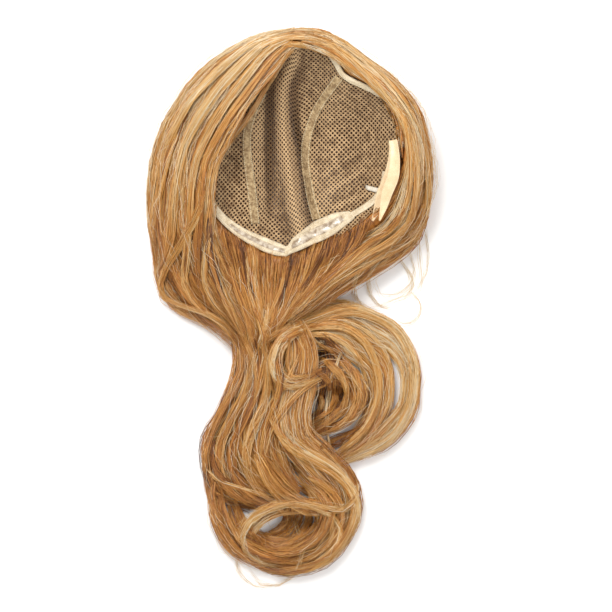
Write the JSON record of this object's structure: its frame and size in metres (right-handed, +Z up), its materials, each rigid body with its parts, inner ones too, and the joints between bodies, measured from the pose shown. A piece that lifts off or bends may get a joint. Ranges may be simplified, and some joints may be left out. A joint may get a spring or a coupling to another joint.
{
  "type": "wig",
  "caption": "Long wavy wig lying flat, with its open net cap facing up, sewn bands at the nape and the hair swept into loose waves and curls.",
  "frame": {"origin": "on the table, in the middle of the box round the whole wig", "axes": "+Z up out of the open cap, +Y towards the front hairline, +X towards the side with the adjuster strap"},
  "size_m": [0.2864, 0.5466, 0.0858],
  "materials": {
    "net": "open tan mesh",
    "tape": "matt woven tape",
    "band": "soft cream band",
    "grip": "clear tacky strip",
    "strap": "satin ribbon",
    "hair_light": "glossy fibre, golden",
    "hair_mid": "glossy fibre, honey",
    "hair_deep": "glossy fibre, auburn shade"
  },
  "bodies": {
    "root": {"net_cap": "net", "seam_tape_left": "tape", "seam_tape_right": "tape", "edge_binding": "band", "nape_band": "band", "grip_strip_left": "grip", "grip_strip_right": "grip", "strap_casing": "band", "adjuster_strap": "strap", "hook_tab": "band", "crown_hair": "hair_deep", "front_hair_left": "hair_light", "front_hair_right": "hair_light", "nape_hair": "hair_deep", "left_wave": "hair_mid", "right_wave": "hair_light", "inner_curl": "hair_mid", "end_curl": "hair_mid", "loop_lock": "hair_light"}
  },
  "joints": []
}
